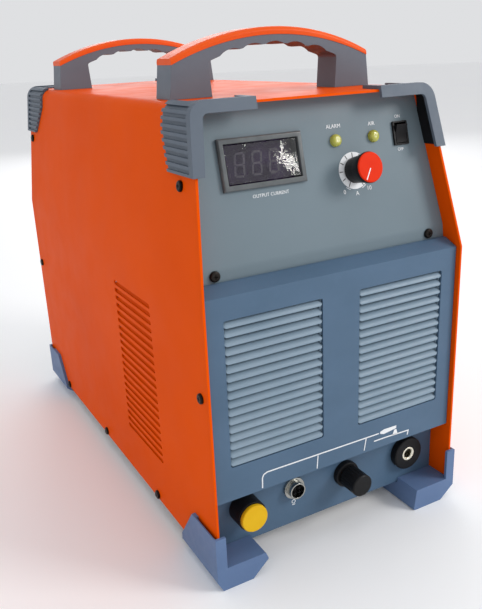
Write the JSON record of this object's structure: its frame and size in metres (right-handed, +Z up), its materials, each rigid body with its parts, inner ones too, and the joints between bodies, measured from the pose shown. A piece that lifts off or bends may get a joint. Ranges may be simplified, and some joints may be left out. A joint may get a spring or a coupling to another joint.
{
  "type": "plasma cutter unit",
  "caption": "Plasma cutting power source: folded sheet casing on corner feet, raked control panel, louvred bezel, recessed outlets, corner guards, rear fan and two arched carrying handles.",
  "frame": {"origin": "middle of the footprint on the floor, under the feet", "axes": "+Z up, the front with the control panel faces -Y, +X to the right seen from the front"},
  "size_m": [0.269, 0.519, 0.456],
  "materials": {
    "cover_paint": "gloss powder coat",
    "panel_paint": "satin powder coat",
    "galvanised_steel": "galvanised",
    "bezel_plastic": "fine grained",
    "louvre_plastic": "satin",
    "guard_plastic": "fine grained",
    "foot_plastic": "fine grained",
    "handle_plastic": "fine grained",
    "handle_cap_plastic": "satin",
    "black_steel": "black oxide",
    "zinc_steel": "zinc plated",
    "meter_frame_plastic": "gloss",
    "display_plastic": "dark filter",
    "clear_window": "clear",
    "black_plastic": "satin",
    "knob_cap_plastic": "satin",
    "lens_plastic": "translucent",
    "outlet_cap_plastic": "satin",
    "nickel_plate": "nickel plated",
    "brass": "machined",
    "valve_brass": "cast",
    "fan_plastic": "moulded",
    "breaker_plastic": "moulded",
    "hose_rubber": "smooth",
    "aluminium": "extruded",
    "module_plastic": "moulded",
    "circuit_board": "solder mask",
    "capacitor_sleeve": "sleeved",
    "ferrite": "sintered",
    "enamelled_copper": "enamelled"
  },
  "bodies": {
    "casing": {"outer_cover": "cover_paint", "base_pan": "galvanised_steel", "rear_panel": "panel_paint", "control_panel": "panel_paint", "front_bezel": "bezel_plastic", "connector_panel": "bezel_plastic", "handle_front_body": "handle_plastic", "handle_rear_body": "handle_plastic", "handle_front_cap": "handle_cap_plastic", "handle_rear_cap": "handle_cap_plastic", "cover_screws": "black_steel", "panel_screws": "black_steel", "handle_screws": "zinc_steel", "foot_screws": "zinc_steel", "meter_housing": "meter_frame_plastic", "meter_display": "display_plastic", "meter_window": "clear_window", "potentiometer_body": "zinc_steel", "rocker_housing": "black_plastic", "indicator_lenses": "lens_plastic", "torch_connector_body": "black_plastic", "trigger_socket_shell": "nickel_plate", "trigger_socket_insert": "black_plastic", "pilot_terminal_base": "black_plastic", "pilot_terminal_stud": "brass", "work_socket_body": "black_plastic", "work_socket_contact": "brass", "fan_frame": "fan_plastic", "fan_guard": "nickel_plate", "breaker_body": "breaker_plastic", "cable_gland_body": "black_plastic", "cable_gland_nut": "black_plastic", "air_inlet_fitting": "brass", "solenoid_valve": "valve_brass", "air_tube": "hose_rubber", "heatsinks": "aluminium", "power_modules": "module_plastic", "circuit_boards": "circuit_board", "louvre_inserts": "louvre_plastic", "bus_capacitors": "capacitor_sleeve", "transformer_core": "ferrite", "transformer_winding": "enamelled_copper", "output_choke": "enamelled_copper", "guard_front_left": "guard_plastic", "foot_front_left": "foot_plastic", "guard_front_right": "guard_plastic", "foot_front_right": "foot_plastic", "guard_rear_left": "guard_plastic", "foot_rear_left": "foot_plastic", "guard_rear_right": "guard_plastic", "foot_rear_right": "foot_plastic"},
    "current_knob": {"potentiometer_shaft": "zinc_steel", "knob_body": "black_plastic", "knob_cap": "knob_cap_plastic"},
    "rocker": {"rocker_button": "black_plastic"},
    "toggle": {"breaker_toggle": "black_plastic"},
    "fan": {"fan_rotor": "fan_plastic"},
    "torch_cap": {"torch_connector_cap": "outlet_cap_plastic"},
    "pilot_washer": {"pilot_terminal_washer": "nickel_plate"},
    "pilot_knob": {"pilot_terminal_knob": "black_plastic"}
  },
  "joints": [
    {"name": "current_knob_turn", "type": "hinge", "parent": "casing", "child": "current_knob", "pos_m": [0.0355, -0.22108, 0.3372], "axis": [0, 0.9713, -0.238], "range_deg": [0, 300]},
    {"name": "rocker_tip", "type": "hinge", "parent": "casing", "child": "rocker", "pos_m": [0.09, -0.21476, 0.363], "axis": [-1, 0, 0], "range_deg": [0, 24]},
    {"name": "toggle_tip", "type": "hinge", "parent": "casing", "child": "toggle", "pos_m": [-0.055, 0.2295, 0.325], "axis": [1, 0, 0], "range_deg": [0, 40]},
    {"name": "fan_spin", "type": "hinge", "parent": "casing", "child": "fan", "pos_m": [0, 0.2145, 0.165], "axis": [0, 1, 0], "continuous": true},
    {"name": "torch_cap_pull", "type": "slide", "parent": "casing", "child": "torch_cap", "axis": [0, -1, 0], "range_m": [0, 0.04]},
    {"name": "pilot_washer_slide", "type": "slide", "parent": "casing", "child": "pilot_washer", "axis": [0, -1, 0], "range_m": [0, 0.006]},
    {"name": "pilot_knob_turn", "type": "hinge", "parent": "pilot_washer", "child": "pilot_knob", "pos_m": [0.02, -0.2405, 0.051], "axis": [0, -1, 0], "range_deg": [0, 2160]}
  ],
  "couplings": [
    {"joint": "pilot_washer_slide", "follows": "pilot_knob_turn", "m_per_rad": 0.000159}
  ]
}
